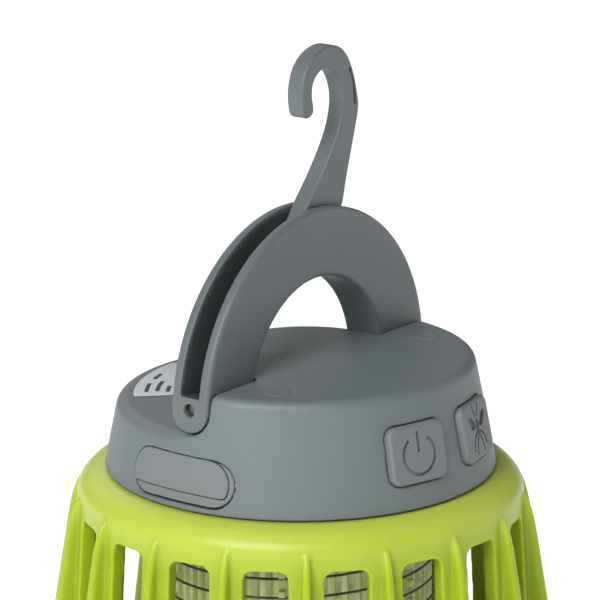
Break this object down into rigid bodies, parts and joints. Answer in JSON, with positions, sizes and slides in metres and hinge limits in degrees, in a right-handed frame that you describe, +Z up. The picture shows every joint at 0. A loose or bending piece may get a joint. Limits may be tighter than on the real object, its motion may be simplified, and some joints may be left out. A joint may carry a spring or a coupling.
{
  "type": "electric bug zapper",
  "caption": "Round insect-killing lantern: a grey cap with two keys, a folding handle and hook, over a lime green slotted cage with a wire grid and a frosted lamp base.",
  "frame": {"origin": "on the ground at the centre of the rubber foot", "axes": "+Z up, -Y towards the two keys, the handle pins lie along X"},
  "size_m": [0.0924, 0.0924, 0.1666],
  "materials": {
    "grey_plastic": "satin moulded",
    "soft_grey": "soft matt",
    "key_grey": "soft matt",
    "lime_plastic": "semi gloss, lightly translucent",
    "black_plastic": "satin",
    "olive_plastic": "satin",
    "white_plastic": "matt",
    "label_silver": "satin film",
    "steel": "bright drawn",
    "brass": "plain turned",
    "board_green": "solder mask",
    "cell_wrap": "shrink wrap",
    "clear_tube": "clear",
    "frosted": "frosted, translucent",
    "led_yellow": "phosphor lens",
    "rubber": "matt"
  },
  "bodies": {
    "lantern": {"top_cap": "grey_plastic", "spec_label": "label_silver", "power_switch": "black_plastic", "zapper_switch": "black_plastic", "usb_bezel": "grey_plastic", "usb_socket": "steel", "main_board": "board_green", "battery_cell": "cell_wrap", "hv_transformer": "black_plastic", "hv_capacitor": "cell_wrap", "handle_pin_left": "brass", "handle_pin_right": "brass", "cage": "lime_plastic", "core_tray": "black_plastic", "tray_screw_1": "steel", "tray_screw_2": "steel", "tray_screw_3": "steel", "tray_screw_4": "steel", "grid_frame": "olive_plastic", "electrode_live": "steel", "electrode_return": "steel", "uv_core": "white_plastic", "uv_tube": "clear_tube", "contact_pin_inner": "brass", "contact_pin_outer": "brass"},
    "carry_handle": {"handle": "grey_plastic", "hook_pin": "brass"},
    "hanging_hook": {"hook": "grey_plastic"},
    "power_button": {"power_key": "key_grey"},
    "zapper_button": {"zapper_key": "key_grey"},
    "port_cover": {"usb_flap": "soft_grey"},
    "base": {"base_tray": "grey_plastic", "diffuser": "frosted", "lamp_board": "white_plastic", "lamp_led_1": "led_yellow", "lamp_led_2": "led_yellow", "lamp_led_3": "led_yellow", "lamp_led_4": "led_yellow", "lamp_led_5": "led_yellow", "lamp_led_6": "led_yellow", "bottom_cap": "grey_plastic", "rubber_foot": "rubber", "contact_ring_inner": "brass", "contact_ring_outer": "brass"}
  },
  "joints": [
    {"name": "handle_fold", "type": "hinge", "parent": "lantern", "child": "carry_handle", "pos_m": [0, -0.0002, 0.11205], "axis": [-1, 0, 0], "range_deg": [0, 90]},
    {"name": "hook_fold", "type": "hinge", "parent": "carry_handle", "child": "hanging_hook", "pos_m": [0.0013, -0.0002, 0.1356], "axis": [0, -1, 0], "range_deg": [0, 118]},
    {"name": "power_press", "type": "slide", "parent": "lantern", "child": "power_button", "axis": [0.2538, 0.9472, -0.1957], "range_m": [0, 0.0005], "stiffness_N_per_m": 800, "springref_m": -0.0005},
    {"name": "zapper_press", "type": "slide", "parent": "lantern", "child": "zapper_button", "axis": [-0.2538, 0.9472, -0.1957], "range_m": [0, 0.0005], "stiffness_N_per_m": 800, "springref_m": -0.0005},
    {"name": "flap_open", "type": "hinge", "parent": "lantern", "child": "port_cover", "pos_m": [-0.0312, 0, 0.105], "axis": [0, 1, 0], "range_deg": [0, 105]},
    {"name": "base_twist", "type": "hinge", "parent": "lantern", "child": "base", "pos_m": [0, 0, 0.0439], "axis": [0, 0, 1], "range_deg": [0, 25]}
  ]
}
